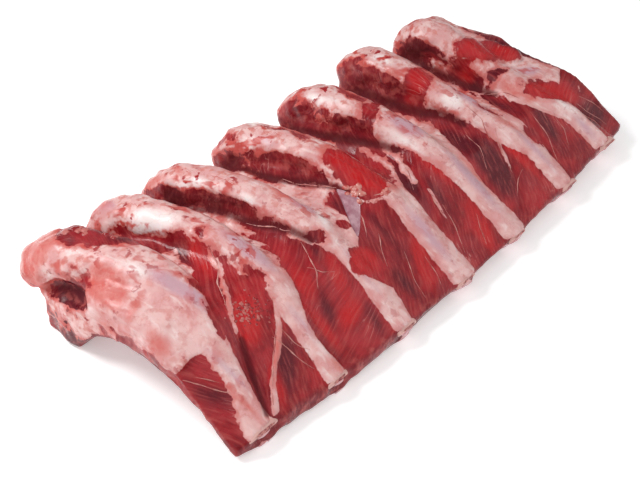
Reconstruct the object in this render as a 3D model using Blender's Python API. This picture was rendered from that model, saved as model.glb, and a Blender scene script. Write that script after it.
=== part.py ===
"""A raw rack of beef back ribs: seven curved rib bones set in one arched slab of meat.

Metres, +Z up. The rack lies arched on its sawn rib tips and on the thick foot under its knobs.
+X runs along the rack, from the broad first rib to the last. +Y runs along the ribs, from the sawn
tips to the knobs. The shapes are worked out in millimetres from the near end of the sawn edge, and
the whole is then moved so that the origin lies under the middle of its box.
"""

import math

import bmesh
import bpy
from mathutils import Vector

MM = 0.001
GAP = 0.3 * MM  # between a bone and the meat that holds it

# Each rib's middle line, as its distance along the rack at the tip, halfway and at the knob.
RIB_TIP_X = [22, 86, 151, 214, 275, 344, 406]
RIB_MID_X = [36, 91, 144, 206, 265, 324, 379]
RIB_KNOB_X = [18, 64, 114, 178, 248, 312, 366]
RIB_MID_Y = 80
RIB_KNOB_Y = 180
# How broad each bone is against the middle ones, and how far its knob reaches past theirs.
RIB_BREADTH = [1.45, 1.1, 1.05, 1.1, 1.05, 1.05, 1.1]
KNOB_REACH = [5, 0, -2, -7, -9, -13, -25]
KNOB_REACH_Y = (95, 182)  # the stretch of a bone that its knob's reach is spread over

# A bone from tip to knob: its middle's distance from the tips and height, and its half sizes.
BONE_PATH = [(0, 11.5), (30, 29), (60, 50), (95, 62), (128, 64.5), (155, 61), (172, 54), (184, 43)]
BONE_HALF_WIDTH = [9.5, 10, 11, 12, 13.5, 15, 16.5, 16]
BONE_HALF_HEIGHT = [5.5, 6.5, 8, 9.5, 11, 14, 17, 16]
BONE_STATIONS = 15
BONE_SIDES = 12
KNOB_CAP_RINGS = 3
CUTTER_OVERRUN = 5  # a bone's cutter runs on past the sawn tip by this much

# The slab: its crest over a rib and its hollow underside, as distance from the tips and height.
# Towards the far end the crest turns into a straighter one, lower midway and higher at the knobs.
CREST = [(0, 17), (30, 36), (50, 52), (75, 67), (100, 73), (130, 75), (160, 70), (180, 54)]
FAR_CREST = [(0, 20), (30, 42), (50, 52), (75, 60), (100, 67), (130, 75), (160, 79), (180, 67)]
FAR_CREST_X = (240, 400)
UNDERSIDE = [(0, 0), (30, 19), (60, 32), (85, 34), (115, 29), (135, 15), (147, 0), (180, 0)]
SLAB_START = -1
SLAB_END = 436
START_SPREAD = 3  # at the knobs the near end stands out further than at the tips by this much
START_SPREAD_Y = (110, 150)
END_DRAW = 20  # at the knobs the far end stops short of its tips by this much
END_DRAW_Y = (25, 100)
TIP_BOW = 15  # the sawn edge bows outwards by this much halfway along
TIP_BOW_FULLNESS = 0.75  # under 1, the bow is fuller near its ends than a sine arch
TIP_BOW_DEPTH = 95  # and the bow has faded this far from the tips
UNDERCUT = 8  # the sawn face leans, so that its lower edge is set back by this much
UNDERCUT_X = (90, 220)  # which begins over this stretch
CHINE_AT_RIB = 180
CHINE_BETWEEN = 164
CHINE_DRAW = 18  # towards the far end the chine edge draws in by this much
CHINE_DRAW_X = (310, 380)
BONE_PROUD_TIP = 3.5  # how far the meat stays below the crest over a bone, at the tips
BONE_PROUD_KNOB = 7
VALLEY_TIP = 2  # how far the meat sinks between two bones, at the tips
VALLEY_KNOB = [16, 24, 26, 31, 33, 30]
VALLEY_Y = (35, 125)  # the valleys deepen over this stretch
VALLEY_SIDES = (0.15, 0.85)  # a valley's slope, from 0 on a bone to 1 halfway to the next one
NOTCH_SIDES = (0.2, 0.9)  # the slopes of the notches between the knobs, in the same measure
FOOT_LIFT = 9  # the foot's underside rises by this much between two ribs
FOOT_Y = (135, 150)
SHOULDER = 34  # how far in from an end the slab reaches its full height
START_THICKNESS_TIP = 9
END_THICKNESS_TIP = 20
END_THICKNESS_KNOB = 34
THINNEST = 4
STATION_PITCH = 8.5
TOP_POINTS = 22
TOP_CROWDING = 0.85  # under 1, the top's points lie closer together near the chine
LOW_POINTS = 12

MEAT_RED = (0.33, 0.03, 0.035)
MEAT_ROUGHNESS = 0.35
BONE_PINK = (0.72, 0.48, 0.42)
BONE_ROUGHNESS = 0.4


def through(points, at):
    """The height of a smooth curve through (distance, height) points, at that distance."""
    last = len(points) - 1
    i = 0
    while i < last - 1 and at > points[i + 1][0]:
        i += 1
    (x0, y0), (x1, y1) = points[i], points[i + 1]

    def slope(k):
        before, after = points[max(k - 1, 0)], points[min(k + 1, last)]
        return (after[1] - before[1]) / (after[0] - before[0])

    span = x1 - x0
    t = min(max((at - x0) / span, 0), 1)
    rise = (2 * t**3 - 3 * t**2 + 1) * y0 + (3 * t**2 - 2 * t**3) * y1
    return rise + span * ((t**3 - 2 * t**2 + t) * slope(i) + (t**3 - t**2) * slope(i + 1))


def along(values, t):
    """A list of evenly spaced values read at t from 0 to 1."""
    return through(list(enumerate(values)), t * (len(values) - 1))


def smooth_step(low, high, value):
    t = min(max((value - low) / (high - low), 0), 1)
    return t * t * (3 - 2 * t)


def between(low, high, t):
    return low + (high - low) * t


def rib_x(rib, y):
    """A rib's middle line: a parabola through its tip, its middle and its knob."""
    tip, mid, knob = RIB_TIP_X[rib], RIB_MID_X[rib], RIB_KNOB_X[rib]
    a, b = RIB_MID_Y, RIB_KNOB_Y
    return (
        tip * (y - a) * (y - b) / (a * b)
        + mid * y * (y - b) / (a * (a - b))
        + knob * y * (y - a) / (b * (b - a))
    )


def bowed(x, from_tips):
    """A distance from the sawn tips as a place in y: the sawn edge bows outwards between the ends."""
    t = min(max((x - SLAB_START) / (SLAB_END - SLAB_START), 0), 1)
    bow = TIP_BOW * math.sin(math.pi * t) ** TIP_BOW_FULLNESS
    return from_tips - bow * (1 - smooth_step(0, TIP_BOW_DEPTH, from_tips))


def crest(x, from_tips):
    """The height of the crest over a rib, at a place along the rack."""
    return between(through(CREST, from_tips), through(FAR_CREST, from_tips), smooth_step(*FAR_CREST_X, x))


def finish(name, colour, roughness):
    material = bpy.data.materials.new(name)
    material.use_nodes = True
    shader = material.node_tree.nodes["Principled BSDF"]
    shader.inputs["Base Color"].default_value = (*colour, 1)
    shader.inputs["Roughness"].default_value = roughness
    shader.inputs["Metallic"].default_value = 0
    return material


def loft(name, rings, collection, colour, roughness):
    """A closed solid through rings of points, each ring with the same number of points."""
    mesh = bpy.data.meshes.new(name)
    work = bmesh.new()
    made = [[work.verts.new(Vector(p) * MM) for p in ring] for ring in rings]
    for ring, following in zip(made, made[1:]):
        for i in range(len(ring)):
            j = (i + 1) % len(ring)
            work.faces.new((ring[i], ring[j], following[j], following[i]))
    for cap in (made[0], made[-1]):
        work.faces.new(cap)
    bmesh.ops.recalc_face_normals(work, faces=work.faces)
    bmesh.ops.triangulate(work, faces=work.faces, quad_method="FIXED")
    work.to_mesh(mesh)
    work.free()
    mesh.shade_smooth()
    mesh.materials.append(finish(name, colour, roughness))
    obj = bpy.data.objects.new(name, mesh)
    collection.objects.link(obj)
    return obj


def bone_rings(rib, grown):
    """Sections square to the bone's path, from the sawn tip to the rounded knob."""
    path_y = []
    for y, _ in BONE_PATH:
        reached = y + KNOB_REACH[rib] * smooth_step(*KNOB_REACH_Y, y)
        path_y.append(bowed(RIB_TIP_X[rib], reached))
    path_z = [z + crest(RIB_MID_X[rib], y) - through(CREST, y) for y, z in BONE_PATH]
    near = 0.02
    rings = []
    for s in range(BONE_STATIONS + KNOB_CAP_RINGS):
        t = min(s / (BONE_STATIONS - 1), 1)
        y, z = along(path_y, t), along(path_z, t)
        ahead_y = along(path_y, min(t + near, 1)) - along(path_y, max(t - near, 0))
        ahead_z = along(path_z, min(t + near, 1)) - along(path_z, max(t - near, 0))
        ahead = Vector((0, ahead_y, ahead_z)).normalized()
        up = Vector((1, 0, 0)).cross(ahead)
        half_width = along(BONE_HALF_WIDTH, t) * RIB_BREADTH[rib] + grown
        half_height = along(BONE_HALF_HEIGHT, t) + grown
        turn = math.pi / 2 * max(s - BONE_STATIONS + 1, 0) / (KNOB_CAP_RINGS + 1)
        centre = Vector((rib_x(rib, y), y, z))
        centre += ahead * half_height * math.sin(turn)
        ring = []
        for k in range(BONE_SIDES):
            angle = 2 * math.pi * k / BONE_SIDES
            out = Vector((1, 0, 0)) * math.cos(angle) * half_width
            out += up * math.sin(angle) * half_height
            ring.append(centre + out * math.cos(turn))
        if grown and s == 0:
            rings.append([point - ahead * CUTTER_OVERRUN for point in ring])
        rings.append(ring)
    return rings


def nearest_ribs(x, y):
    """How far a point is from its nearest rib, from 0 on it to 1 halfway, and the gap it is in."""
    lines = [rib_x(rib, y) for rib in range(len(RIB_TIP_X))]
    if x <= lines[0] or x >= lines[-1]:
        return 0, None
    gap = max(i for i, line in enumerate(lines) if line < x)
    half = (lines[gap + 1] - lines[gap]) / 2
    return 1 - abs(x - lines[gap] - half) / half, gap


def set_back(x):
    """How far the sawn face's lower edge lies behind its upper one."""
    return UNDERCUT * smooth_step(*UNDERCUT_X, x)


def slab_heights(x, from_tips, start, end):
    """The slab's underside and top at one place between its two ends."""
    back = set_back(x) * (1 - smooth_step(0, TIP_BOW_DEPTH, from_tips))
    low = max(through(UNDERSIDE, max(from_tips - back, 0)), 0)
    off, gap = nearest_ribs(x, from_tips)
    depth = smooth_step(*VALLEY_Y, from_tips)
    proud = between(BONE_PROUD_TIP, BONE_PROUD_KNOB, depth)
    full = crest(x, from_tips) - proud
    if gap is not None:
        valley = between(VALLEY_TIP, VALLEY_KNOB[gap], depth)
        full -= (valley - proud) * smooth_step(*VALLEY_SIDES, off)
        low += FOOT_LIFT * smooth_step(*FOOT_Y, from_tips) * smooth_step(*NOTCH_SIDES, off)
    t = min((x - start) / SHOULDER, (end - x) / SHOULDER, 1)
    shoulder = math.sqrt(1 - (1 - t) ** 2)
    at_tip = START_THICKNESS_TIP if x - start < end - x else END_THICKNESS_TIP
    end_thickness = between(at_tip, END_THICKNESS_KNOB, depth)
    thin = low + min(end_thickness, full - low)
    return low, max(between(thin, full, shoulder), low + THINNEST)


def slab_ring(t):
    """One section across the slab, from the sawn tip over the top to the chine edge and back."""

    def place(from_tips):
        start = SLAB_START - START_SPREAD * smooth_step(*START_SPREAD_Y, from_tips)
        end = SLAB_END - END_DRAW * smooth_step(*END_DRAW_Y, from_tips)
        x = between(start, end, t)
        return x, bowed(x, from_tips), slab_heights(x, from_tips, start, end)

    middle = between(SLAB_START, SLAB_END, t)
    off, _ = nearest_ribs(middle, CHINE_BETWEEN)
    chine = between(CHINE_AT_RIB, CHINE_BETWEEN, smooth_step(*NOTCH_SIDES, off))
    chine -= CHINE_DRAW * smooth_step(*CHINE_DRAW_X, middle)
    ring = []
    for k in range(TOP_POINTS):
        x, y, (_, top) = place(chine * math.sin(math.pi / 2 * k / (TOP_POINTS - 1)) ** TOP_CROWDING)
        ring.append((x, y, top))
    for k in range(LOW_POINTS):
        x, y, (low, _) = place(between(chine, set_back(middle), k / (LOW_POINTS - 1)))
        ring.append((x, y, low))
    return ring


def centre_over_origin(parts, cutters):
    """Moves everything so that the origin lies under the middle of the parts' box."""
    points = [vertex.co for obj in parts.objects for vertex in obj.data.vertices]
    lowest = [min(p[axis] for p in points) for axis in range(3)]
    highest = [max(p[axis] for p in points) for axis in range(3)]
    middle = [(lowest[axis] + highest[axis]) / 2 for axis in range(2)]
    for obj in [*parts.objects, *cutters.objects]:
        obj.location = (-middle[0], -middle[1], -lowest[2])


def build():
    for old in list(bpy.data.objects):
        bpy.data.objects.remove(old, do_unlink=True)
    parts = bpy.data.collections.new("rack_of_ribs")
    cutters = bpy.data.collections.new("bone_cutters")
    for collection in (parts, cutters):
        bpy.context.scene.collection.children.link(collection)

    stations = round((SLAB_END - SLAB_START) / STATION_PITCH)
    rings = [slab_ring(k / stations) for k in range(stations + 1)]
    meat = loft("meat", rings, parts, MEAT_RED, MEAT_ROUGHNESS)
    for rib in range(len(RIB_TIP_X)):
        loft(f"rib_{rib + 1}", bone_rings(rib, 0), parts, BONE_PINK, BONE_ROUGHNESS)
        seat = loft(f"seat_{rib + 1}", bone_rings(rib, GAP / MM), cutters, BONE_PINK, BONE_ROUGHNESS)
        seat.hide_render = True
        seat.display_type = "WIRE"
        cut = meat.modifiers.new(seat.name, "BOOLEAN")
        cut.operation = "DIFFERENCE"
        cut.object = seat
    centre_over_origin(parts, cutters)


build()
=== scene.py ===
"""Looks for a raw rack of beef back ribs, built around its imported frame."""

import math

import bmesh
import bpy
import numpy as np
from mathutils import Matrix, Vector
from mathutils.bvhtree import BVHTree


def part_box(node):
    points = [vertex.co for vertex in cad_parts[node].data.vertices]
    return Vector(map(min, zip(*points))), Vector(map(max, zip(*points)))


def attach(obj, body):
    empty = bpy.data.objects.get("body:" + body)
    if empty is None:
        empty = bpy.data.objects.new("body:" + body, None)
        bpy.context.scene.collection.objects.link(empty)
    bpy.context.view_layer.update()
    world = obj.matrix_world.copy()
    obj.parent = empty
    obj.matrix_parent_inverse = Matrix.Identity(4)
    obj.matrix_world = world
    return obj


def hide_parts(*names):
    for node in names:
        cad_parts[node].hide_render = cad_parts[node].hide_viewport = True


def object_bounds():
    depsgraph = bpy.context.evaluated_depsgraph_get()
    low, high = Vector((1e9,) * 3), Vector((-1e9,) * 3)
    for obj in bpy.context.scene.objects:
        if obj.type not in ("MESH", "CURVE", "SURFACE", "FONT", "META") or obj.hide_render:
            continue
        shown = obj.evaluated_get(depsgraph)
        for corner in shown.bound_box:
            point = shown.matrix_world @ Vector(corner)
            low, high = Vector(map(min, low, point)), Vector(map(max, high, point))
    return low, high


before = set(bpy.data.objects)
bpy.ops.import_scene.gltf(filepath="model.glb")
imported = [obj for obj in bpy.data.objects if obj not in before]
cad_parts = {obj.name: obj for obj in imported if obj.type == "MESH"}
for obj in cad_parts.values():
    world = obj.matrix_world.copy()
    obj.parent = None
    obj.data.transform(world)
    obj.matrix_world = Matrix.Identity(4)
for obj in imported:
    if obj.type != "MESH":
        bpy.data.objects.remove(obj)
cad_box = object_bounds()

# --- Camera, lamps and floor -------------------------------------------------------------------
# The rack lies on a plain pale floor under large soft white lamps, seen from its first rib and
# its sawn tips. All places below are millimetres on the rack: x along it from the near end of the
# sawn edge, y along the ribs from that edge to the knobs, z up.

MM = 0.001
NEAR_END = 4 * MM  # the meat stands out past the near corner of the sawn edge by this much
EDGE_BOW = 15 * MM  # and the sawn edge bows out past that corner by this much
meat_low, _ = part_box("meat")
CORNER = np.array([meat_low[0] + NEAR_END, meat_low[1] + EDGE_BOW, 0.0])
scene = bpy.context.scene


def in_frame(x, y, z=0.0):
    """A place on the rack, in millimetres, as a place in the frame."""
    return Vector(CORNER) + Vector((x, y, z)) * MM


VIEW_AZIMUTH = math.radians(-48)
VIEW_ELEVATION = math.radians(42)
VIEW_DISTANCE = 1.0
LENS = 76.3
look_at = in_frame(187.5, 99.1)
towards_camera = Vector(
    (
        math.sin(VIEW_AZIMUTH) * math.cos(VIEW_ELEVATION),
        -math.cos(VIEW_AZIMUTH) * math.cos(VIEW_ELEVATION),
        math.sin(VIEW_ELEVATION),
    )
)
camera = bpy.data.objects.new("camera", bpy.data.cameras.new("camera"))
camera.data.lens = LENS
camera.location = look_at + towards_camera * VIEW_DISTANCE
camera.rotation_euler = towards_camera.to_track_quat("Z", "Y").to_euler()
scene.collection.objects.link(camera)
scene.camera = camera
scene.view_settings.view_transform = "Standard"

# Each lamp: its name, its place in mm from what the camera looks at, its width in m, its watts.
LAMPS = [
    ("window_lamp", (-380, 430, 760), 0.42, 6.0),
    ("side_lamp", (-620, -240, 520), 1.00, 1.8),
    ("front_lamp", (420, -620, 520), 1.60, 4.6),
]
for name, place, width, power in LAMPS:
    lamp = bpy.data.objects.new(name, bpy.data.lights.new(name, "AREA"))
    lamp.data.shape = "DISK"
    lamp.data.size = width
    lamp.data.energy = power
    lamp.location = look_at + Vector(place) * MM
    lamp.rotation_euler = (lamp.location - look_at).to_track_quat("Z", "Y").to_euler()
    scene.collection.objects.link(lamp)


def linear(colour):
    """A hex colour, as seen on a screen, as the linear values that a shader takes."""
    parts = [int(colour[i : i + 2], 16) / 255 for i in (1, 3, 5)]
    return (*[c / 12.92 if c <= 0.04045 else ((c + 0.055) / 1.055) ** 2.4 for c in parts], 1.0)


def add(tree, kind, **parts):
    """Adds a node: lower-case parts are its settings, the rest its inputs by name or by number."""
    node = tree.nodes.new("ShaderNode" + kind)
    for key, value in parts.items():
        if key[0].islower():
            setattr(node, key, value)
            continue
        socket = node.inputs[int(key[1:])] if key[0] == "_" else node.inputs[key.replace("_", " ")]
        if isinstance(value, bpy.types.Node):
            tree.links.new(next(out for out in value.outputs if out.enabled), socket)
        else:
            socket.default_value = linear(value) if isinstance(value, str) else value
    return node


def new_material(name):
    material = bpy.data.materials.new(name)
    material.use_nodes = True
    material.node_tree.nodes.clear()
    return material, material.node_tree


AMBIENT = 0.26  # the strength of the even white light from all round
world = bpy.data.worlds.new("studio")
world.use_nodes = True
background = world.node_tree.nodes["Background"]
background.inputs["Color"].default_value = linear("#ffffff")
background.inputs["Strength"].default_value = AMBIENT
scene.world = world

FLOOR_REACH = 6.0  # metres each way, well past the edge of the view
FLOOR_GAP = 0.5 * MM  # the floor lies this far below the rack
floor_mesh = bpy.data.meshes.new("floor")
corners = [(u * FLOOR_REACH, v * FLOOR_REACH, 0) for u, v in ((-1, -1), (1, -1), (1, 1), (-1, 1))]
floor_mesh.from_pydata(corners, [], [(0, 1, 2, 3)])
floor = bpy.data.objects.new("floor", floor_mesh)
floor.location.z = cad_box[0][2] - FLOOR_GAP
scene.collection.objects.link(floor)
# Flat white paper, so bright that only a faint shade lies round the rack.
white_paper, tree = new_material("white_paper")
shader = add(
    tree, "BsdfPrincipled", Base_Color="#ffffff", Roughness=0.8,
    Emission_Color="#ffffff", Emission_Strength=0.3,
)
add(tree, "OutputMaterial", Surface=shader)
floor.data.materials.append(white_paper)

# --- The rack's flesh --------------------------------------------------------------------------
# One moist closed skin of beef over all the bones: red meat between the ribs, and over each rib a
# pale cover of fat and membrane. It is cut from the animal with a saw and a boning knife, so its
# ends are ragged and its cover is scraped through to red in places.

SKIN_GRAIN = 1.88 * MM  # the size of the skin's faces


def closed_skin(name, mesh, grain):
    """One closed skin over all the bodies of a mesh, with even faces about grain across."""
    rough = bpy.data.objects.new("rough", mesh)
    scene.collection.objects.link(rough)
    remesh = rough.modifiers.new("skin", "REMESH")
    remesh.mode = "VOXEL"
    remesh.voxel_size = grain
    evaluated = rough.evaluated_get(bpy.context.evaluated_depsgraph_get())
    skin = bpy.data.meshes.new_from_object(evaluated)
    bpy.data.objects.remove(rough)
    skin.name = name
    return skin


bones = [f"rib_{n}" for n in range(1, 8)]
verts, faces = [], []
for node_name in ["meat", *bones]:
    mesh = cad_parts[node_name].data
    first = len(verts)
    verts += [v.co.copy() for v in mesh.vertices]
    faces += [tuple(first + i for i in p.vertices) for p in mesh.polygons]
rack_mesh = bpy.data.meshes.new("rack")
rack_mesh.from_pydata(verts, [], faces)
skin_mesh = closed_skin("flesh", rack_mesh, SKIN_GRAIN)
flesh = bpy.data.objects.new("flesh", skin_mesh)
scene.collection.objects.link(flesh)


def points_of(mesh):
    """The mesh's vertices as places on the rack, in millimetres."""
    co = np.empty(len(mesh.vertices) * 3, np.float32)
    mesh.vertices.foreach_get("co", co)
    return (co.reshape(-1, 3).astype(float) - CORNER) / MM


def set_points(mesh, points):
    mesh.vertices.foreach_set("co", (points * MM + CORNER).astype(np.float32).ravel())
    mesh.update()


def normals_of(mesh):
    out = np.empty(len(mesh.vertices) * 3, np.float32)
    mesh.vertex_normals.foreach_get("vector", out)
    return out.reshape(-1, 3).astype(float)


def relax(mesh, values, times, share=0.5):
    """Moves each vertex's values towards the mean of its neighbours'."""
    edges = np.empty(len(mesh.edges) * 2, np.int32)
    mesh.edges.foreach_get("vertices", edges)
    a, b = edges.reshape(-1, 2).T
    count = np.bincount(a, minlength=len(values)) + np.bincount(b, minlength=len(values))
    for _ in range(times):
        total = np.zeros_like(values)
        for k in range(values.shape[1]):
            for end, other in ((a, b), (b, a)):
                total[:, k] += np.bincount(end, values[other, k], len(values))
        values = values + share * (total / count[:, None] - values)
    return values


def lattice(cells):
    """A repeatable number from -1 to 1 for each cell of a grid, mixed by large odd factors."""
    x, y, z = cells.astype(np.int64).T
    h = (x * 374761393 + y * 668265263 + z * 2147483647) & 0xFFFFFFFF
    h = ((h ^ (h >> 13)) * 1274126177) & 0xFFFFFFFF
    return ((h ^ (h >> 16)) & 0xFFFF) / 32767.5 - 1


def wander(points, size, seed=0):
    """Soft unevenness from -1 to 1 whose lumps are about size across; each seed has its own."""
    cells = points / size + seed * 7.31
    low = np.floor(cells)
    t = cells - low
    t = t * t * (3 - 2 * t)
    total = 0
    for corner in np.ndindex(2, 2, 2):
        c = np.array(corner)
        weight = np.prod(np.where(c, t, 1 - t), axis=1)
        total = total + weight * lattice(low + c)
    return total


def rise(low, high, value):
    """Climbs smoothly from 0 where the value is low to 1 where it is high."""
    t = np.clip((value - low) / (high - low), 0, 1)
    return t * t * (3 - 2 * t)


def spots(x, y, places):
    """How far places lie inside ovals, each a middle, half length, half width and turn."""
    best = np.full(len(x), -99.0)
    for cx, cy, length, width, turn in places:
        c, s = math.cos(math.radians(turn)), math.sin(math.radians(turn))
        along, across = (x - cx) * c + (y - cy) * s, (y - cy) * c - (x - cx) * s
        best = np.maximum(best, width * (1 - np.hypot(along / length, across / width)))
    return best


def line_distance(x, y, line):
    """The distance to a line of points in plan."""
    best = np.full(len(x), 99.0)
    for (ax, ay), (bx, by) in zip(line, line[1:]):
        t = ((x - ax) * (bx - ax) + (y - ay) * (by - ay)) / ((bx - ax) ** 2 + (by - ay) ** 2)
        t = np.clip(t, 0, 1)
        best = np.minimum(best, np.hypot(x - ax - t * (bx - ax), y - ay - t * (by - ay)))
    return best


points = relax(skin_mesh, points_of(skin_mesh), 5)
set_points(skin_mesh, points)
facing = relax(skin_mesh, normals_of(skin_mesh), 4)
x, y, z = points.T
# The underside, up to where the foot under the knobs begins, and the rest.
under = rise(0.1, 0.45, -facing[:, 2]) * rise(147, 143, y * (z < 60))
top = 1 - under
# How ragged the edges of the covers are: fairly clean at the tips, torn round the knobs.
ragged = 0.35 + 0.65 * rise(40, 80, y) * (1 - 0.4 * rise(48, 30, x))
ragged += 0.5 * rise(110, 150, y) + 0.4 * rise(26, 18, x) * rise(65, 45, y)
# Where each place counts as lying in plan, shifted a little so that the outlines wander.
edge_x = x + ragged * (1.6 * wander(points, 11, 1) + 0.7 * wander(points, 4.7, 3))
edge_y = y + ragged * (1.6 * wander(points, 11, 2) + 0.7 * wander(points, 4.7, 4))
sway = 1.6 * np.array([wander(points, 26, 5), wander(points, 26, 6)])

# Each rib's pale cover, from its tip to over its knob: the place along the rib, and the left and
# right edges there.
COVERS = [
    [(-9, 8, 27), (10, 12, 28), (25, 20, 32), (35, 21, 34), (48, 21, 38), (54, -20, 38),
     (65, -20, 42), (80, -20, 48), (100, -20, 58), (120, -20, 64), (130, -20, 42),
     (140, -20, 30), (155, -20, 18), (165, -20, 12), (175, -20, 16), (190, -20, 27),
     (205, -20, 30)],
    [(-14, 75, 90), (10, 80, 88), (25, 81, 90), (40, 82, 99), (60, 88, 106), (70, 80, 110),
     (85, 81, 113), (100, 80, 118), (120, 76, 117), (140, 65, 113), (160, 56, 106),
     (180, 50, 97), (205, 46, 90)],
    [(-18, 142, 154), (10, 143, 160), (20, 145, 150), (30, 145, 149), (45, 143, 165),
     (60, 138, 171), (80, 134, 172), (90, 131, 184), (110, 125, 176), (130, 117, 168),
     (150, 110, 163), (170, 102, 158), (205, 98, 150)],
    [(-20, 204, 224), (30, 205, 223), (55, 205, 226), (66, 222, 232), (80, 192, 240),
     (100, 189, 240), (120, 183, 238), (135, 178, 232), (150, 170, 228), (165, 163, 222),
     (205, 160, 212)],
    [(-20, 266, 286), (20, 266, 281), (45, 262, 284), (60, 259, 287), (75, 254, 294),
     (90, 251, 300), (120, 246, 297), (140, 238, 296), (160, 233, 292), (205, 230, 280)],
    [(-16, 336, 347), (20, 333, 350), (40, 322, 350), (60, 318, 347), (80, 312, 353),
     (100, 308, 356), (125, 303, 354), (150, 299, 352), (175, 297, 345), (205, 295, 335)],
    [(-12, 396, 409), (5, 392, 405), (25, 386, 402), (40, 374, 398), (60, 366, 428),
     (80, 362, 426), (92, 356, 420), (122, 352, 404), (140, 350, 398), (160, 348, 395),
     (205, 345, 385)],
]
# Pale tendons and strips of sinew in the meat: half width, then their line in plan.
TENDONS = [
    (2.2, [(33, -2), (46, 12), (60, 22), (72, 31), (82, 42)]),
    (1.6, [(48, 46), (60, 66), (74, 90), (79, 104)]),
    (2.2, [(108, 150), (112, 132), (118, 118)]), (2.0, [(131, 78), (133, 68), (137, 60)]),
    (2.6, [(238, 54), (244, 70), (250, 94)]), (1.6, [(190, 66), (198, 58), (208, 52)]),
    (1.2, [(235, 22), (238, 32), (241, 42)]), (1.3, [(180, 108), (184, 92), (189, 78)]),
    (1.5, [(419, 26), (421, 33), (425, 38)]), (1.6, [(312, 22), (318, 33), (325, 46)]),
    (2.5, [(312, 104), (318, 92), (320, 76)]),
]
# How far inside the nearest cover or tendon a place lies, in millimetres.
cover = np.full(len(points), -99.0)
for half_width, line in TENDONS:
    uneven = 1 + 0.5 * wander(points, 17, 13)
    inside = half_width * uneven - line_distance(edge_x, edge_y, line)
    cover = np.maximum(cover, inside)
for edges in COVERS:
    at, left, right = np.array(edges, float).T
    from_left = edge_x - np.interp(edge_y, at, left)
    from_right = np.interp(edge_y, at, right) - edge_x
    cover = np.maximum(cover, 0.85 * np.minimum(from_left, from_right) + 1.4)

# Ovals in plan where the cover is so thin that it is salmon over the red.
THIN = [
    (9, 121, 21, 12, 80), (8, 186, 20, 14, 0), (146, 98, 16, 5, 100), (201, 107, 10, 6, 20),
    (283, 33, 20, 3.5, 92), (378, 52, 10, 6, 0), (303, 136, 5, 4, 0), (107, 182, 12, 6, 100),
    (172, 178, 12, 5, 100), (300, 172, 12, 5, 100), (46, 62, 22, 4, 80), (60, 184, 9, 6, 110),
    (8, 96, 12, 4, 20), (4, 70, 12, 5, 90), (116, 170, 12, 4, 100), (172, 135, 12, 3, 100),
    (206, 150, 16, 6, 100), (372, 66, 14, 5, 100), (330, 108, 20, 5, 100), (338, 46, 14, 5, 110),
    (60, 22, 28, 4, 36), (64, 76, 30, 3, 62), (20, 10, 14, 3, 95), (88, -4, 8, 4, 100),
    (216, 56, 8, 5, 0), (235, 176, 10, 6, 100),
]
# Ovals where the knife has scraped the cover away to red meat.
BARE = [
    (40, 55, 11, 3.5, 75), (48, 80, 6, 3, 80), (4, 146, 12, 4, 100), (82, 110, 3.5, 3, 0),
    (85, 63, 9, 4.5, 100), (111, 76, 6, 2.5, 105), (108, 60, 6, 2.5, 100),
    (115, 92, 9, 3.5, 100), (141, 60, 7, 4, 120), (157, 31, 12, 11, 20), (165, 59, 5, 4.5, 90),
    (201, 130, 7, 5, 110), (197, 144, 6, 3, 120), (205, 82, 25, 12, 100), (229, 94, 34, 8, 78),
    (238, 157, 8, 2.5, 95), (262, 134, 14, 4.5, 95), (258, 113, 13, 6, 35),
    (315, 113, 14, 10, 15), (349, 29, 10, 4, 95), (414, 92, 40, 6, 112), (353, 155, 4, 2.5, 0),
    (396, 48, 22, 11, -38), (412, 36, 16, 7, -40), (22, 178, 12, 7, 60), (338, 62, 8, 3, 120),
    (360, 100, 16, 5, 100), (374, 83, 9, 4, -20), (172, 178, 9, 3, 100), (238, 178, 10, 4, 100),
    (300, 172, 10, 4, 100),
]
# Ovals of other tissue: thick white fat with its sheen painted in as a whiter highlight, membrane
# over bone with its lavender sheen, meat that has gone dark, and fresh bright meat. One dark oval
# is painted shade in the near end's hollow.
WHITE_FAT_AND_SHEEN = [
    (27, 114, 13, 5, 100), (70, 143, 22, 8, 118), (128, 111, 9, 5, 110), (148, 50, 5, 3, 90),
    (176, 154, 8, 4, 120), (244, 152, 14, 6, 105), (257, 78, 18, 4, 100), (309, 145, 12, 6, 100),
    (318, 83, 12, 6, 120), (155, 68, 13, 5, 60), (114, 152, 18, 4, 115), (395, 28, 16, 4, 105),
    (100, 120, 26, 4, 95), (190, 165, 10, 4, 110), (88, 5, 14, 3, 90),
]
LAVENDER = [
    (38, 82, 34, 7, 105), (26, 30, 20, 3, 100), (94, 80, 26, 7, 100), (88, 25, 14, 3, 90),
    (152, 88, 18, 8, 100), (149, 30, 20, 3, 90), (212, 20, 26, 5, 90), (275, 30, 30, 6, 92),
    (266, 85, 18, 8, 100), (340, 20, 24, 4, 95), (334, 75, 20, 9, 100), (396, 12, 14, 4, 100),
    (400, 71, 12, 6, 150), (60, 182, 10, 6, 110), (182, 145, 8, 3, 110), (127, 90, 10, 3, 110),
]
# Dark meat; the oval at (-2, 152) is painted shade in the near end's hollow.
DARK = [
    (66, 112, 12, 5, 80), (112, 24, 14, 5, 70), (134, 2, 9, 4, 70), (134, 55, 7, 3.5, 90),
    (187, 40, 24, 4, 90), (178, 73, 13, 5, 65), (234, 55, 22, 7, 75), (302, 32, 28, 13, 80),
    (368, 28, 20, 7, 75), (414, 16, 20, 9, 10), (412, 95, 36, 7, 115), (10, 28, 14, 5, 125),
    (-2, 152, 20, 9, 90), (60, 14, 22, 8, 40), (42, 145, 12, 8, 60), (16, 165, 5, 3, 60),
    (360, 100, 18, 6, 100), (374, 83, 10, 5, -20), (245, 40, 18, 4, 80), (172, 5, 14, 5, 90),
    (296, 60, 20, 10, 80), (355, 70, 24, 5, 90),
]
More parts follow.
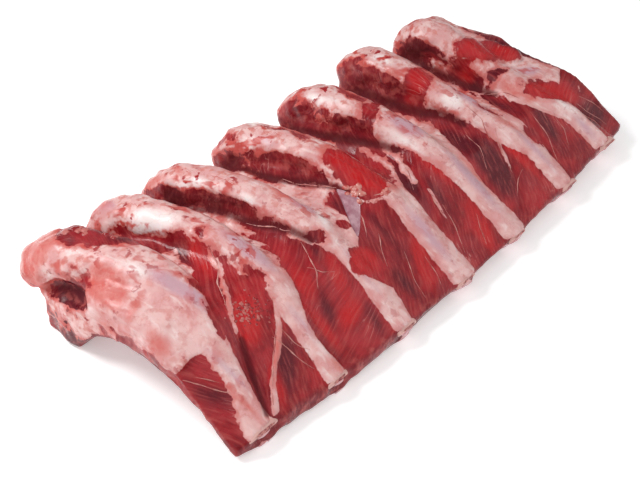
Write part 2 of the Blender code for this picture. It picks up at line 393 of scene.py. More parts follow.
BRIGHT = [
    (122, 14, 16, 7, 20), (132, 30, 20, 6, 70), (110, 45, 14, 8, 80), (206, 80, 26, 12, 100),
    (258, 50, 22, 3.5, 95), (326, 28, 34, 5, 95), (372, 104, 16, 12, -10),
    (394, 94, 16, 10, -35), (398, 45, 24, 10, -38), (60, 48, 20, 10, 50), (315, 113, 12, 9, 15),
    (157, 31, 12, 10, 20), (70, 100, 18, 6, 70), (195, 10, 20, 7, 60), (255, 5, 20, 8, 70),
    (100, 20, 20, 5, 90), (48, 10, 16, 5, 60),
]
# The folds between the ribs: how deep each is, 1 for the deepest, and its line in plan. Each dips
# the skin and is darkened with painted shade.
FOLDS = [
    (1, [(28, 0), (34, 12), (40, 25), (48, 40)]),
    (0.9, [(52, 128), (48, 150), (36, 172)]),
    (1, [(102, 168), (108, 150), (115, 135), (120, 115), (125, 95), (132, 75), (136, 62)]),
    (1, [(160, 178), (165, 160), (173, 130), (178, 115), (183, 100), (188, 85), (189, 74)]),
    (1, [(229, 178), (231, 160), (234, 145), (238, 130), (242, 115), (246, 100), (250, 80)]),
    (1, [(294, 172), (297, 145), (299, 130), (302, 115), (305, 100), (309, 85), (312, 66)]),
    (1, [(348, 160), (352, 145), (355, 115), (359, 95), (363, 75)]),
    (0.45, [(356, 90), (370, 88), (384, 86), (396, 80), (408, 81)]),
    (0.5, [(116, 48), (124, 57), (131, 62)]),
    (0.25, [(96, 60), (112, 40), (118, 14)]),
    (0.3, [(185, 62), (188, 40), (184, 18), (180, -6)]),
    (0.3, [(246, 70), (240, 44), (226, 18)]),
    (0.5, [(318, 60), (322, 38), (312, 16), (296, -2)]),
    (0.4, [(366, 62), (360, 36), (352, 12)]),
]
FOLD_REACH = 3  # a fold dips the skin about this far to each side of its line
FOLD_SHADE_REACH = 7  # and painted shade darkens the meat about this far
crease, fold_shading = np.zeros((2, len(points)))
for depth, line in FOLDS:
    off = line_distance(x + sway[0], y + sway[1], line)
    crease = np.maximum(crease, top * depth * np.exp(-((off / FOLD_REACH) ** 2)))
    fold_shading = np.maximum(fold_shading, top * depth * np.exp(-((off / FOLD_SHADE_REACH) ** 2)))
# The flap of red meat that lies over the last rib, in ovals.
FLAP = [(371, 110, 11, 9, -20), (386, 103, 18, 13, -15), (401, 93, 12, 9, -40)]
flap = spots(edge_x, edge_y, FLAP)
bare = np.maximum(spots(edge_x, edge_y, BARE), flap)
# Each rib's middle line: its place along the rack at its tip, halfway and at its knob.
RIB_TIP_X = [22, 86, 151, 214, 275, 344, 406]
RIB_MID_X = [36, 91, 144, 206, 265, 324, 379]
RIB_KNOB_X = [18, 64, 114, 178, 248, 312, 366]
rib_lines = [np.interp(y, (0, 80, 180), line) for line in zip(RIB_TIP_X, RIB_MID_X, RIB_KNOB_X)]
from_rib = np.min([np.abs(x - line) for line in rib_lines], axis=0)
gap = np.sum([x > line for line in rib_lines], axis=0)
# The cut ends, the back where the backbone was, the sawn edge, and the steep torn slopes to the
# left of the knobs.
near_wall = rise(0.75, 0.92, -facing[:, 0]) * rise(30, 12, x)
far_wall = rise(0.6, 0.9, facing[:, 0]) * rise(405, 425, x)
chine = rise(0.55, 0.85, facing[:, 1]) * rise(120, 150, y)
sawn = rise(0.6, 0.85, -facing[:, 1]) * rise(30, 8, y)
left_slope = rise(0.62, 0.92, -facing[:, 0]) * rise(95, 112, y) * rise(92, 104, x) * top
# The last few millimetres of the top before the sawn edge, where the meat is frayed. The edge's
# place along each rib is given at its tip.
SAWN_Y = [-7, -12, -16, -18, -18, -14, -10]
rim = top * rise(8, 1, y - np.interp(x, RIB_TIP_X, SAWN_Y) - 2 * sway[0])
# The cover gives way to red meat low down behind the knobs, and along the arch in the near end,
# whose height is given at places along the rib.
cover = np.where((z < 40) & (y >= 110), np.minimum(cover, 3 + 0.4 * (z - 30)), cover)
arch_z = np.interp(y, [0, 30, 60, 85, 115, 135, 147], [0, 19, 32, 34, 29, 15, 0])
above_arch = z - arch_z - 10.5 + 3 * wander(points, 8, 11)
cover = np.where(x < 15, np.minimum(cover, above_arch), cover)
cover -= 5 * left_slope + 2 * near_wall + 12 * far_wall + 2 * chine + 9 * sawn
# The torn foot of the near end is red and pale in shreds, and red along its lower edge.
foot = (x < 14) & (y > 105) & (z < 42)
cover = np.where(foot, 1.4 + 3.5 * wander(points, 7, 35) - 3 * rise(18, 4, z), cover)
# The hollow in the near end, as an oval in y and z. It is carved in, and darkened with painted
# shade.
HOLLOW = [(153, 45, 21, 8, -15)]
recess = np.where((x < 12) & (facing[:, 0] < -0.25), spots(y, z, HOLLOW), -99)
cover = np.where(recess > -4, np.minimum(cover, -recess), cover)
# The hollow also counts as a crease: it dips the skin, dulls its gloss and takes the creases'
# painted shade.
crease = np.maximum(crease, 0.6 * rise(0, 5, recess))
# Underneath, an even pale band lies over each bone.
inner = 7.5 - from_rib + 2 * wander(points, 14, 9)
cover = cover * top + inner * under

# Each place along and across the meat's fibres. In each gap they turn another way, in degrees from
# the rack's length, about a middle in that gap.
GRAIN_TURN = [-57, 66, 20, 62, 56, 60, 66, 25]
GRAIN_MIDDLE_X = [8, 55, 115, 180, 245, 305, 362, 415]
GRAIN_MIDDLE_Y = 30
turn = np.take(GRAIN_TURN, gap) * top + 8 * under + 9 * wander(points, 30, 12)
turn = np.radians(turn)
u, v = x - np.take(GRAIN_MIDDLE_X, gap), y - GRAIN_MIDDLE_Y
along, across = u * np.cos(turn) + v * np.sin(turn), v * np.cos(turn) - u * np.sin(turn)
grain = np.stack((along, across, z), axis=1)
# Each place across and along the rib to its left.
from_left_rib = np.choose(np.clip(gap - 1, 0, 6), [x - line for line in rib_lines])
along_rib = np.stack((from_left_rib, y, z), axis=1)

# How far each place is raised off the even skin: fat stands above meat and is lumpy, meat has
# ridges along its fibres, and the knobs and the torn faces are rough.
fat = rise(-0.8, 1.6, cover) * rise(0.8, -1.2, bare * top)
meat = 1 - fat
knob = rise(135, 165, y)
lift = 1.0 * fat
lift += fat * (0.75 * wander(points, 13, 20) + 0.5 * wander(points, 6, 21) * ragged)
lift += fat * ragged * 0.2 * wander(along_rib / (4.6, 20, 9), 1, 32)
lift += meat * (0.9 * wander(points, 22, 22) + 0.3 * wander(grain / (34, 5.5, 10), 1, 23))
lift += meat * 0.35 * wander(points, 5, 24) * rise(-1, 1, wander(points, 24, 25))
lift += knob * (1.6 * wander(points, 17, 26) + 0.9 * wander(points, 7, 27))
torn = np.clip(near_wall + chine + left_slope, 0, 1)
lift += torn * (1.5 * wander(points, 10, 28) - 1.5 * np.abs(wander(points, 7, 29)))
lift -= 3.5 * rise(-2, 4, recess)
lift += under * (2.2 * rise(-5, 5, inner) - 1 + 0.5 * wander(points, 10, 30))
lift += 4.2 * rise(-0.8, 1.6, flap) * top
lift -= 1.6 * crease
# The sawn edge is rough, but even over the end of each bone, an oval in x and z.
TIP_Z, TIP_HALF_X, TIP_HALF_Z = 10, 11, 9
tips = [np.hypot((x - tip) / TIP_HALF_X, (z - TIP_Z) / TIP_HALF_Z) for tip in RIB_TIP_X]
from_tip = np.min(tips, axis=0)
lift += sawn * 0.8 * wander(points, 7, 31) * rise(0.9, 1.3, from_tip)
lift -= sawn * 0.5 * rise(1.2, 0.9, from_tip)
# Nothing is pushed down into the table.
TABLE_GAP = 0.3
outward = normals_of(skin_mesh)
outward[:, 2] = np.where(z < 2, np.maximum(outward[:, 2], 0), outward[:, 2])
points = points + outward * lift[:, None]
points[:, 2] = np.maximum(points[:, 2], TABLE_GAP)
points = relax(skin_mesh, points, 1, 0.3)
set_points(skin_mesh, points)


def keep(mesh, name, values):
    """Stores a number, or three, at each vertex for the material to read."""
    kind, part = ("FLOAT", "value") if values.ndim == 1 else ("FLOAT_VECTOR", "vector")
    attribute = mesh.attributes.new(name, kind, "POINT")
    attribute.data.foreach_set(part, values.astype(np.float32).ravel())


lavender = top * rise(-1, 4, spots(edge_x, edge_y, LAVENDER))
dark = top * rise(-4, 5, spots(edge_x, edge_y, DARK))
# The meat is darker in the dark ovals, on the torn slopes left of the knobs, on the sawn edge and
# underneath, and painted shade darkens it along the folds and in the near end's hollow.
darker_and_shaded = [dark, 0.6 * fold_shading, rise(-3, 3, recess), 0.5 * sawn + 0.4 * under, 0.45 * left_slope]
keep(skin_mesh, "cover", cover)
keep(skin_mesh, "bare", bare * top - 20 * under)
keep(skin_mesh, "ragged", ragged)
keep(skin_mesh, "thin", top * rise(-1.5, 4, spots(edge_x, edge_y, THIN)))
# White fat, with its sheen painted in as a whiter highlight.
keep(skin_mesh, "white", top * rise(-1, 4, spots(edge_x, edge_y, WHITE_FAT_AND_SHEEN)))
keep(skin_mesh, "lavender", np.maximum(lavender, 0.8 * under))
# Dark meat, and painted shade in the folds and the near end's hollow.
keep(skin_mesh, "dark", np.maximum.reduce(darker_and_shaded))
keep(skin_mesh, "bright", top * rise(-2, 4, spots(edge_x, edge_y, BRIGHT)))
keep(skin_mesh, "crease", crease)
keep(skin_mesh, "grain", grain)
keep(skin_mesh, "along_rib", along_rib)
keep(skin_mesh, "torn", np.clip(knob * rise(10, 16, from_rib) + torn + rim, 0, 1))

# Raw beef, wet: pale fat that is cream where thick and salmon where the red shows through, and red
# meat in fibres with thin white marbling. Its gloss is soft and changes from place to place.
# Painted shade darkens its folds and hollow, and a painted sheen whitens the thick fat in places.
raw_beef, tree = new_material("raw_beef")
place = add(tree, "NewGeometry")
KEPT = ["cover", "bare", "ragged", "thin", "white", "lavender", "dark", "bright", "crease", "torn"]
KEPT += ["grain", "along_rib"]
field = {name: add(tree, "Attribute", attribute_name=name) for name in KEPT}
# Cloudy unevenness: the size of its clouds in mm, and how finely they break up.
CLOUDS = {
    "edge_clouds": (6, 3), "wide_clouds": (30, 1), "clouds": (16, 3), "small_clouds": (5, 3),
    "bands": (22, 3), "patches": (26, 1), "torn_clouds": (6, 4), "gloss_clouds": (11, 3),
    "veins": (15, 4), "flecks": (7, 3),
}
for name, (size, detail) in CLOUDS.items():
    field[name] = add(tree, "TexNoise", Vector=place, Scale=1 / (size * MM), Detail=detail)
# Unevenness drawn out along the fibres or along the ribs: the field it is laid out in, and its
# lengths in mm on that field's three axes.
STREAKS = {
    "edge_fringe": ("grain", (9, 2.4, 5)),
    "fibres": ("grain", (34, 1.7, 5)),
    "marbling": ("grain", (70, 3.4, 12)),
    "silver": ("along_rib", (4, 19, 8)),
    "blotches": ("along_rib", (7, 13, 8)),
}
for name, (way, lengths) in STREAKS.items():
    at = add(tree, "VectorMath", operation="DIVIDE", _0=field[way], _1=lengths)
    field[name] = add(tree, "TexNoise", Vector=at, Scale=1.0, Detail=2.0)
# How far inside the cover, or inside a bare patch, a place lies once the edges have been frayed.
frayed = add(tree, "Math", operation="MULTIPLY_ADD", _0=field["edge_clouds"], _1=8.0, _2=-4.0)
fringe = add(tree, "Math", operation="MULTIPLY_ADD", _0=field["edge_fringe"], _1=2.6, _2=-1.3)
frayed = add(tree, "Math", operation="ADD", _0=frayed, _1=fringe)
field["scraped"] = add(tree, "Math", operation="ADD", _0=field["bare"], _1=frayed)
frayed = add(tree, "Math", operation="MULTIPLY", _0=frayed, _1=field["ragged"])
field["inside"] = add(tree, "Math", operation="ADD", _0=field["cover"], _1=frayed)
unscraped = add(tree, "Math", operation="MULTIPLY", _0=field["scraped"], _1=-1.0)
depth = add(tree, "Math", operation="MINIMUM", _0=field["inside"], _1=unscraped)
uneven = add(tree, "Math", operation="MULTIPLY_ADD", _0=field["clouds"], _1=8.0, _2=-4.0)
field["depth"] = add(tree, "Math", operation="ADD", _0=depth, _1=uneven)
# Veins and marbling are thin lines, where their unevenness crosses its middle.
for name, middle in (("veins", 0.5), ("marbling", 0.53)):
    off = add(tree, "Math", operation="SUBTRACT", _0=field[name], _1=middle)
    field[name] = add(tree, "Math", operation="ABSOLUTE", _0=off)
# Masks: the field each is cut from, where it starts and is full, and its least and most.
MASKS = {
    "covered": ("inside", -0.3, 0.4, 0, 1),
    "whole": ("scraped", 0.5, -0.4, 0, 1),
    "cream": ("clouds", 0.38, 0.62, 0, 1),
    "silvery": ("silver", 0.52, 0.72, 0, 1),
    "mottled": ("small_clouds", 0.48, 0.66, 0, 1),
    "fleck": ("flecks", 0.6, 0.645, 0, 1),
    "in_places": ("wide_clouds", 0.45, 0.58, 0.05, 1),
    "flushed": ("blotches", 0.52, 0.62, 0, 1),
    "vein": ("veins", 0.016, 0, 0, 1),
    "edge": ("depth", 3.2, 0.2, 0, 1),
    "see_through": ("small_clouds", 0.3, 0.6, 0.95, 0.65),
    "light_band": ("bands", 0.38, 0.62, 0, 1),
    "dusky": ("patches", 0.46, 0.6, 0, 1),
    "fresh": ("bands", 0.7, 0.4, 0.45, 0.9),
    "light_fibre": ("fibres", 0.45, 0.75, 0, 1),
    "dark_fibre": ("fibres", 0.47, 0.25, 0, 1),
    "marble": ("marbling", 0.02, 0, 0, 1),
    "marbled": ("patches", 0.56, 0.7, 0, 1),
    "shred": ("torn_clouds", 0.48, 0.66, 0, 1),
    # Painted shade in the creases and in the near end's hollow.
    "fold_shade": ("crease", 0.3, 1.0, 0, 1),
    "gloss": ("gloss_clouds", 0.3, 0.7, 0.17, 0.38),
    "dull": ("crease", 0.1, 0.7, 0, 0.5),
    "wet": ("crease", 0.02, 0.3, 0.09, 0),
}
for name, (source, start, full, least, most) in MASKS.items():
    field[name] = add(
        tree, "MapRange", interpolation_type="SMOOTHSTEP", Value=field[source],
        From_Min=start, From_Max=full, To_Min=least, To_Max=most,
    )
# Coats of colour laid one over another: how strong, the masks that limit it, and its colour.
FAT_COATS = [
    (1.0, ["cream"], "#e0b7b4"),
    (0.5, ["silvery"], "#eddad7"),
    (0.8, ["mottled", "ragged"], "#cd8680"),
    (0.9, ["lavender"], "#c29aa5"),
    # Near white where the fat is thick and white, with its sheen painted in as a highlight.
    (0.95, ["white"], "#eddedc"),
    (0.75, ["flushed", "in_places", "ragged"], "#bb4a44"),
    (0.75, ["fleck", "in_places", "ragged"], "#9c2127"),
    (0.2, ["vein"], "#b9605c"),
    (0.7, ["edge", "ragged"], "#c25650"),
    (1.0, ["thin", "see_through"], "#c9625a"),
]
MEAT_COATS = [
    (1.0, ["light_band"], "#a6262c"),
    (0.45, ["dusky"], "#963037"),
    # Dark red where the meat is dark, and painted shade along the folds and in the near end's
    # hollow.
    (0.9, ["dark"], "#520f1c"),
    (1.0, ["bright", "fresh"], "#bb1d20"),
    (0.34, ["light_fibre"], "#c05a55"),
    (0.28, ["dark_fibre"], "#4a0c15"),
    (0.5, ["marble", "marbled"], "#d9918b"),
    (0.5, ["torn", "shred"], "#b95c57"),
]
# Each tissue's first colour and its coats. The beef is meat with the fat over it, and painted shade
# over its creases and the near end's hollow.
TISSUES = {
    "fat": ("#d49c9a", FAT_COATS),
    "meat": ("#84141d", MEAT_COATS),
    "beef": ("meat", [(1.0, ["covered", "whole"], "fat"), (0.8, ["fold_shade"], "#4f0b13")]),
}
for tissue, (ground, coats) in TISSUES.items():
    colour = field.get(ground, ground)
    for strength, masks, paint in coats:
        share = strength
        for mask in masks:
            share = add(tree, "Math", operation="MULTIPLY", _0=field[mask], _1=share)
        coat = field.get(paint, paint)
        colour = add(tree, "Mix", data_type="RGBA", _0=share, _6=colour, _7=coat)
    field[tissue] = colour
# Fine relief: fibres in the meat and flecks in the fat.
pale = add(tree, "Math", operation="MULTIPLY", _0=field["covered"], _1=field["whole"])
relief = add(tree, "Mix", data_type="FLOAT", _0=pale, _2=field["fibres"], _3=field["flecks"])
relief = add(tree, "Math", operation="MULTIPLY_ADD", _0=field["small_clouds"], _1=0.7, _2=relief)
gloss = add(tree, "Math", operation="MULTIPLY_ADD", _0=pale, _1=0.06, _2=field["gloss"])
gloss = add(tree, "Math", operation="ADD", _0=gloss, _1=field["dull"])
relief = add(tree, "Bump", Height=relief, Strength=0.5, Distance=0.8 * MM)
shader = add(
    tree, "BsdfPrincipled", Base_Color=field["beef"], Roughness=gloss, Normal=relief,
    Specular_IOR_Level=0.2, Coat_Weight=field["wet"], Coat_Roughness=0.07,
    Subsurface_Weight=0.15, Subsurface_Scale=2 * MM, Subsurface_Radius=(1.0, 0.35, 0.25),
)
add(tree, "OutputMaterial", Surface=shader)
skin_mesh.materials.clear()
skin_mesh.materials.append(raw_beef)
skin_mesh.shade_smooth()
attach(flesh, "root")
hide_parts("meat")

# --- Sawn rib bones ----------------------------------------------------------------------------
# Seven flat rib bones inside the flesh. They show only where the saw cut them off at the tips: a
# pale ring of hard bone round a red spongy middle.

BONE_GRAIN = 1.3 * MM  # the size of the bones' faces
CUT = 1.2  # what lies this near a bone's tip, in mm, is its cut
SUNK = 4.2  # past the cut each bone lies this far under the flesh
RING = 0.68  # the hard ring begins this far out from the middle of the cut
HOLLOWED = 0.7  # the spongy middle lies this far in from the ring
STANDS_OUT = 0.2  # and the ring stands this far out of the meat

# Hard ivory bone, flushed pink, with a dull spongy red middle that is full of pores.
sawn_bone, tree = new_material("sawn_bone")
place = add(tree, "NewGeometry")
from_middle = add(tree, "Attribute", attribute_name="from_middle")
spongy = add(tree, "MapRange", Value=from_middle, From_Min=0.86, From_Max=0.66)
pores = add(tree, "TexNoise", Vector=place, Scale=1 / (1.6 * MM), Detail=3.0)
pores = add(tree, "MapRange", Value=pores, From_Min=0.42, From_Max=0.6)
clouds = add(tree, "TexNoise", Vector=place, Scale=1 / (5 * MM))
ivory = add(tree, "Mix", data_type="RGBA", _0=clouds, _6="#d9aea5", _7="#cb938c")
marrow_red = add(tree, "Mix", data_type="RGBA", _0=pores, _6="#7d2226", _7="#c0736b")
bone_colour = add(tree, "Mix", data_type="RGBA", _0=spongy, _6=ivory, _7=marrow_red)
gloss = add(tree, "MapRange", Value=clouds, From_Min=0.3, From_Max=0.7, To_Min=0.3, To_Max=0.5)
holes = add(tree, "Math", operation="MULTIPLY", _0=pores, _1=spongy)
holes = add(tree, "Bump", Height=holes, Strength=0.5, Distance=0.5 * MM)
shader = add(tree, "BsdfPrincipled", Base_Color=bone_colour, Roughness=gloss, Normal=holes)
add(tree, "OutputMaterial", Surface=shader)

for n, node_name in enumerate(bones):
    name = f"sawn_rib_{n + 1}"
    made = closed_skin(name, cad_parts[node_name].data.copy(), BONE_GRAIN)
    at = relax(made, points_of(made), 2)
    set_points(made, at)
    cut = at[:, 1] < at[:, 1].min() + CUT
    low, high = at[cut].min(axis=0), at[cut].max(axis=0)
    middle, half = (low + high) / 2, (high - low) / 2
    from_middle = np.hypot((at[:, 0] - middle[0]) / half[0], (at[:, 2] - middle[2]) / half[2])
    deeper = rise(1.5, 14, at[:, 1] - low[1]) + rise(90, 140, at[:, 1])
    at -= SUNK * normals_of(made) * deeper[:, None]
    near_cut = rise(3, 0, at[:, 1] - low[1])
    spongy_part = cut * rise(RING, RING - 0.15, from_middle)
    at[:, 1] += HOLLOWED * spongy_part - STANDS_OUT * near_cut
    set_points(made, at)
    keep(made, "from_middle", np.where(cut, from_middle, 1.0))
    made.materials.clear()
    made.materials.append(sawn_bone)
    made.shade_smooth()
    bone = bpy.data.objects.new(name, made)
    scene.collection.objects.link(bone)
    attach(bone, "root")
    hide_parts(node_name)

# --- Sinew strands -----------------------------------------------------------------------------
# Fine tough white strands, the edges of the sheets between the muscles. They lie half sunk in the
# meat along its fibres, and a few fringe the covers.

skin_faces = [tuple(face.vertices) for face in skin_mesh.polygons]
skin_tree = BVHTree.FromPolygons([Vector(p) for p in points], skin_faces)
WELL_ABOVE = 200  # a height in mm over all of the rack


def on_skin(x, y):
    """The top of the flesh at a place in plan, and its slope. Past its edge both are None."""
    return skin_tree.ray_cast(Vector((x, y, WELL_ABOVE)), Vector((0, 0, -1)))[:2]


def smooth_line(line, pitch):
    """Points along a curve through a line's points, about pitch apart."""
    line = np.array(line, float)
    lengths = np.concatenate([[0], np.cumsum(np.linalg.norm(np.diff(line, axis=0), axis=1))])
    at = np.linspace(0, lengths[-1], max(int(lengths[-1] / pitch), 3))
    curve = np.stack([np.interp(at, lengths, line[:, k]) for k in range(2)], axis=1)
    for _ in range(3):
        curve[1:-1] = (curve[:-2] + 2 * curve[1:-1] + curve[2:]) / 4
    return curve


def new_piece(name, verts, faces, material):
    """A piece of its own, from places on the rack in millimetres."""
    made = bpy.data.meshes.new(name)
    made.from_pydata([in_frame(*v) for v in verts], [], faces)
    made.materials.append(material)
    made.shade_smooth()
    piece = bpy.data.objects.new(name, made)
    scene.collection.objects.link(piece)
    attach(piece, "root")


# Each strand: its thickness, then its line in plan.
STRANDS = [
    (0.45, [(1, 47), (10, 34), (19, 22)]), (0.4, [(0, 36), (6, 26), (16, 13)]),
    (0.3, [(8, 42), (18, 31)]), (0.45, [(76, 3), (70, 16), (66, 31)]),
    (0.35, [(81, 12), (75, 22), (74, 38)]), (0.5, [(54, 58), (62, 76), (74, 86), (78, 100)]),
    (0.45, [(36, 2), (50, 17), (64, 27), (76, 36)]),
    (0.5, [(116, 36), (122, 43), (128, 56), (131, 66)]),
    (0.3, [(120, 50), (126, 42), (134, 38)]), (0.4, [(170, 21), (174, 30), (182, 40)]),
    (0.4, [(172, 42), (182, 54), (187, 70)]), (0.35, [(177, -8), (180, 5), (189, 22)]),
    (0.3, [(194, -8), (199, 2), (200, 12)]), (0.5, [(234, 23), (237, 33), (242, 44)]),
    (0.35, [(228, -2), (236, 12), (241, 30)]), (0.35, [(232, 50), (240, 60), (246, 74)]),
    (0.3, [(249, -6), (253, 4), (259, 12)]), (0.5, [(311, 18), (316, 33), (326, 47)]),
    (0.35, [(299, 4), (310, 12), (321, 16)]), (0.4, [(318, 46), (323, 58), (322, 72)]),
    (0.35, [(294, 30), (304, 44), (306, 60)]), (0.4, [(351, 4), (360, 20), (366, 44)]),
    (0.35, [(360, 82), (368, 66), (371, 50)]), (0.3, [(371, 8), (379, 20), (381, 32)]),
    (0.4, [(403, 22), (411, 12), (413, 1)]), (0.35, [(409, 28), (414, 17), (421, 6)]),
    (0.4, [(416, 32), (425, 24), (429, 12)]),
    (0.5, [(189, 84), (184, 96), (180, 110), (176, 124)]),
    (0.45, [(132, 76), (127, 92), (122, 108)]), (0.4, [(198, 62), (208, 56), (218, 56)]),
]
STRAND_SIDES = 6
STRAND_PITCH = 1.2  # the length of its faces
STRAND_SWAY = 0.7  # how far it strays from its line
FLATNESS = 1.5  # how much wider than thick a strand is
verts, faces = [], []
for n, (thickness, line) in enumerate(STRANDS):
    curve = smooth_line(line, STRAND_PITCH)
    level = np.c_[curve, np.full(len(curve), 9.0 * n)]
    sway = np.stack([wander(level, 7, seed) for seed in (40, 41)], axis=1)
    curve = curve + STRAND_SWAY * sway
    first = len(verts)
    rings = 0
    for i, (u, v) in enumerate(curve):
        hit, normal = on_skin(u, v)
        if hit is None:
            break
        onward = curve[min(i + 1, len(curve) - 1)] - curve[max(i - 1, 0)]
        sideways = normal.cross(Vector((*onward, 0)).normalized()).normalized()
        # It tapers to both ends, swells and thins, and dips in and out of the meat.
        t = i / (len(curve) - 1)
        taper = 0.25 + 0.75 * math.sin(math.pi * t) ** 0.6
        size = 0.7 * thickness * taper * (1 + 0.3 * math.sin(0.9 * i + n))
        height = 0.7 * math.sin(0.45 * i + 2.3 * n) - 0.1
        for k in range(STRAND_SIDES):
            turn = 2 * math.pi * k / STRAND_SIDES
            outward = sideways * FLATNESS * math.cos(turn) + normal * (math.sin(turn) + height)
            verts.append(hit + size * outward)
        rings += 1
    for i in range(rings - 1):
        for k in range(STRAND_SIDES):
            a, b = [first + i * STRAND_SIDES + side % STRAND_SIDES for side in (k, k + 1)]
            faces.append((a, b, b + STRAND_SIDES, a + STRAND_SIDES))
    last = first + (rings - 1) * STRAND_SIDES
    faces.append(tuple(first + k for k in reversed(range(STRAND_SIDES))))
    faces.append(tuple(last + k for k in range(STRAND_SIDES)))

# Tough pinkish white, a little glossier in some places than in others.
sinew, tree = new_material("sinew")
clouds = add(tree, "TexNoise", Vector=add(tree, "NewGeometry"), Scale=1 / (9 * MM))
clouds = add(tree, "MapRange", Value=clouds, From_Min=0.35, From_Max=0.65)
sinew_colour = add(tree, "Mix", data_type="RGBA", _0=clouds, _6="#a84f4b", _7="#c98d85")
gloss = add(tree, "MapRange", Value=clouds, To_Min=0.25, To_Max=0.45)
shader = add(tree, "BsdfPrincipled", Base_Color=sinew_colour, Roughness=gloss)
add(tree, "OutputMaterial", Surface=shader)
new_piece("sinew_strands", verts, faces, sinew)

# --- Loose membrane ----------------------------------------------------------------------------
# A thin silver-lavender sheet of the skin between the ribs and the chest. The knife has left it
# loose, so it lies over the meat between the third rib and the fourth, with its edges down on it.

# The sheet's two long edges in plan, how far it stands off the flesh, and its own depth.
SHEET_LEFT = [(187, 83), (181, 73), (176, 65), (170, 54), (167, 46)]
SHEET_RIGHT = [(188, 83), (191, 74), (192, 65), (183, 57), (168, 46)]
STAND_OFF = 0.9
SHEET_DEPTH = 0.9
ROWS, COLUMNS = 22, 9
left, right = smooth_line(SHEET_LEFT, 0.1), smooth_line(SHEET_RIGHT, 0.1)
grid = []
for i in range(ROWS):
    t = i / (ROWS - 1)
    a, b = [edge[int(t * (len(edge) - 1))] for edge in (left, right)]
    for k in range(COLUMNS):
        s = k / (COLUMNS - 1)
        u, v = a + (b - a) * s
        u += 0.6 * math.sin(5.1 * t) * (1 - s) + 0.5 * math.sin(9 * t) * s
        hit, normal = on_skin(u, v)
        from_edge = min(s, 1 - s, 0.5 * t, 2 * (1 - t))
        ripple = 0.55 + 0.45 * math.sin(4 * t + 3 * s)
        height = STAND_OFF * ripple * (1 - 0.9 * rise(0.2, 0.0, from_edge))
        grid.append(hit + normal * (height + 0.15))
verts = grid + [place - Vector((0, 0, SHEET_DEPTH)) for place in grid]
below = len(grid)
faces = []
for i in range(ROWS - 1):
    for k in range(COLUMNS - 1):
        a, b = i * COLUMNS + k, i * COLUMNS + k + 1
        quad = (a, b, b + COLUMNS, a + COLUMNS)
        faces += [quad, tuple(below + corner for corner in reversed(quad))]
# The way round the sheet's edge, which joins its top to its bottom.
rim = [i * COLUMNS for i in range(ROWS)] + [(ROWS - 1) * COLUMNS + k for k in range(1, COLUMNS)]
rim += [i * COLUMNS + COLUMNS - 1 for i in reversed(range(ROWS - 1))]
rim += list(reversed(range(1, COLUMNS - 1)))
faces += [(b, a, below + a, below + b) for a, b in zip(rim, rim[1:] + rim[:1])]

# Thin wet silverskin, lavender where the dark meat shows through and paler where it is thicker.
silverskin, tree = new_material("silverskin")
clouds = add(tree, "TexNoise", Vector=add(tree, "NewGeometry"), Scale=1 / (7 * MM), Detail=3.0)
clouds = add(tree, "MapRange", Value=clouds, From_Min=0.35, From_Max=0.65)
film = add(tree, "Mix", data_type="RGBA", _0=clouds, _6="#98606d", _7="#bd929b")
gloss = add(tree, "MapRange", Value=clouds, To_Min=0.18, To_Max=0.34)
shader = add(tree, "BsdfPrincipled", Base_Color=film, Roughness=gloss, Coat_Weight=0.2)
add(tree, "OutputMaterial", Surface=shader)
new_piece("loose_membrane", verts, faces, silverskin)

# --- Crumbs of fat and scraps of trim ----------------------------------------------------------
# Small lumps that the saw and the knife left behind: soft crumbs of pale fat on the fourth rib, and
# torn red and pale scraps round the first knob and on the meat past the first rib.

# Where they lie: middle in plan, spread along x and y, how many, and their size.
CRUMBS = [(194, 72, 5, 8, 24, 2.2), (207, 56, 6, 3, 9, 1.6)]
SCRAPS = [(28, 172, 6, 7, 8, 2.6), (40, 152, 4, 9, 6, 2.2), (66, 52, 13, 10, 90, 0.9)]
# One round ball, which each lump is drawn out from.
ball = bmesh.new()
bmesh.ops.create_icosphere(ball, subdivisions=2, radius=1.0)
ball_points = np.array([v.co for v in ball.verts])
ball_faces = [tuple(v.index for v in f.verts) for f in ball.faces]
ball.free()
draw = np.random.default_rng(7)


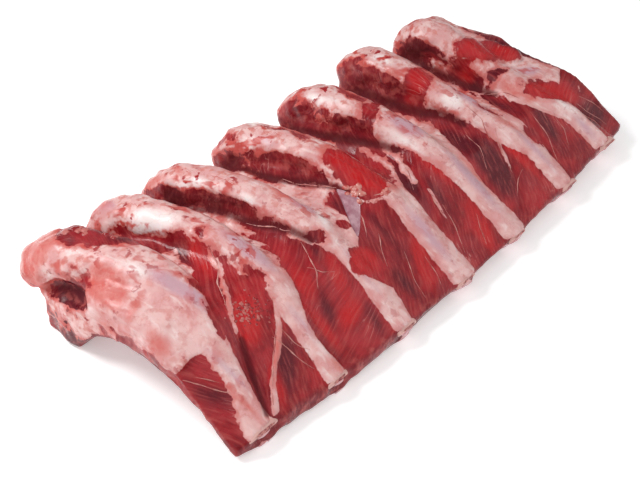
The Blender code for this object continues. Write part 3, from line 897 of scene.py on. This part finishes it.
def lumps(name, heaps, material, longer):
    """Small uneven lumps pressed into the flesh, thick in the middle of each heap."""
    verts, faces = [], []
    for x, y, spread_x, spread_y, count, size in heaps:
        for _ in range(count):
            u, v = x + spread_x * draw.normal() * 0.5, y + spread_y * draw.normal() * 0.5
            hit, normal = on_skin(u, v)
            scale = size * draw.uniform(0.55, 1.25)
            ranges = ((1, longer), (0.8, 1.2), (0.35, 0.65))
            stretch = scale * np.array([draw.uniform(*limits) for limits in ranges])
            spin = draw.uniform(0, 2 * math.pi)
            seed = int(draw.integers(1000))
            if hit is None:
                continue
            shape = ball_points * (1 + 0.35 * wander(ball_points, 0.9, seed)[:, None]) * stretch
            turn = normal.to_track_quat("Z", "Y").to_matrix() @ Matrix.Rotation(spin, 3, "Z")
            middle = hit - normal * 0.15 * scale
            first = len(verts)
            verts += [middle + turn @ Vector(p) for p in shape]
            faces += [tuple(first + i for i in face) for face in ball_faces]
    new_piece(name, verts, faces, material)


# Soft crumbly fat, salmon with some red.
soft_fat, tree = new_material("soft_fat")
clouds = add(tree, "TexNoise", Vector=add(tree, "NewGeometry"), Scale=1 / (4 * MM))
clouds = add(tree, "MapRange", Value=clouds, From_Min=0.4, From_Max=0.62)
crumb_colour = add(tree, "Mix", data_type="RGBA", _0=clouds, _6="#cd8a80", _7="#b03f3a")
gloss = add(tree, "MapRange", Value=clouds, To_Min=0.25, To_Max=0.42)
shader = add(tree, "BsdfPrincipled", Base_Color=crumb_colour, Roughness=gloss)
add(tree, "OutputMaterial", Surface=shader)
lumps("fat_crumbs", CRUMBS, soft_fat, 1.3)

# Wet torn meat, dark red with pale threads of fat.
torn_trim, tree = new_material("torn_trim")
clouds = add(tree, "TexNoise", Vector=add(tree, "NewGeometry"), Scale=1 / (7 * MM), Detail=3.0)
clouds = add(tree, "MapRange", Value=clouds, From_Min=0.46, From_Max=0.58)
scrap_colour = add(tree, "Mix", data_type="RGBA", _0=clouds, _6="#8a161c", _7="#b8655f")
gloss = add(tree, "MapRange", Value=clouds, To_Min=0.2, To_Max=0.4)
shader = add(tree, "BsdfPrincipled", Base_Color=scrap_colour, Roughness=gloss)
add(tree, "OutputMaterial", Surface=shader)
lumps("trim_scraps", SCRAPS, torn_trim, 1.8)
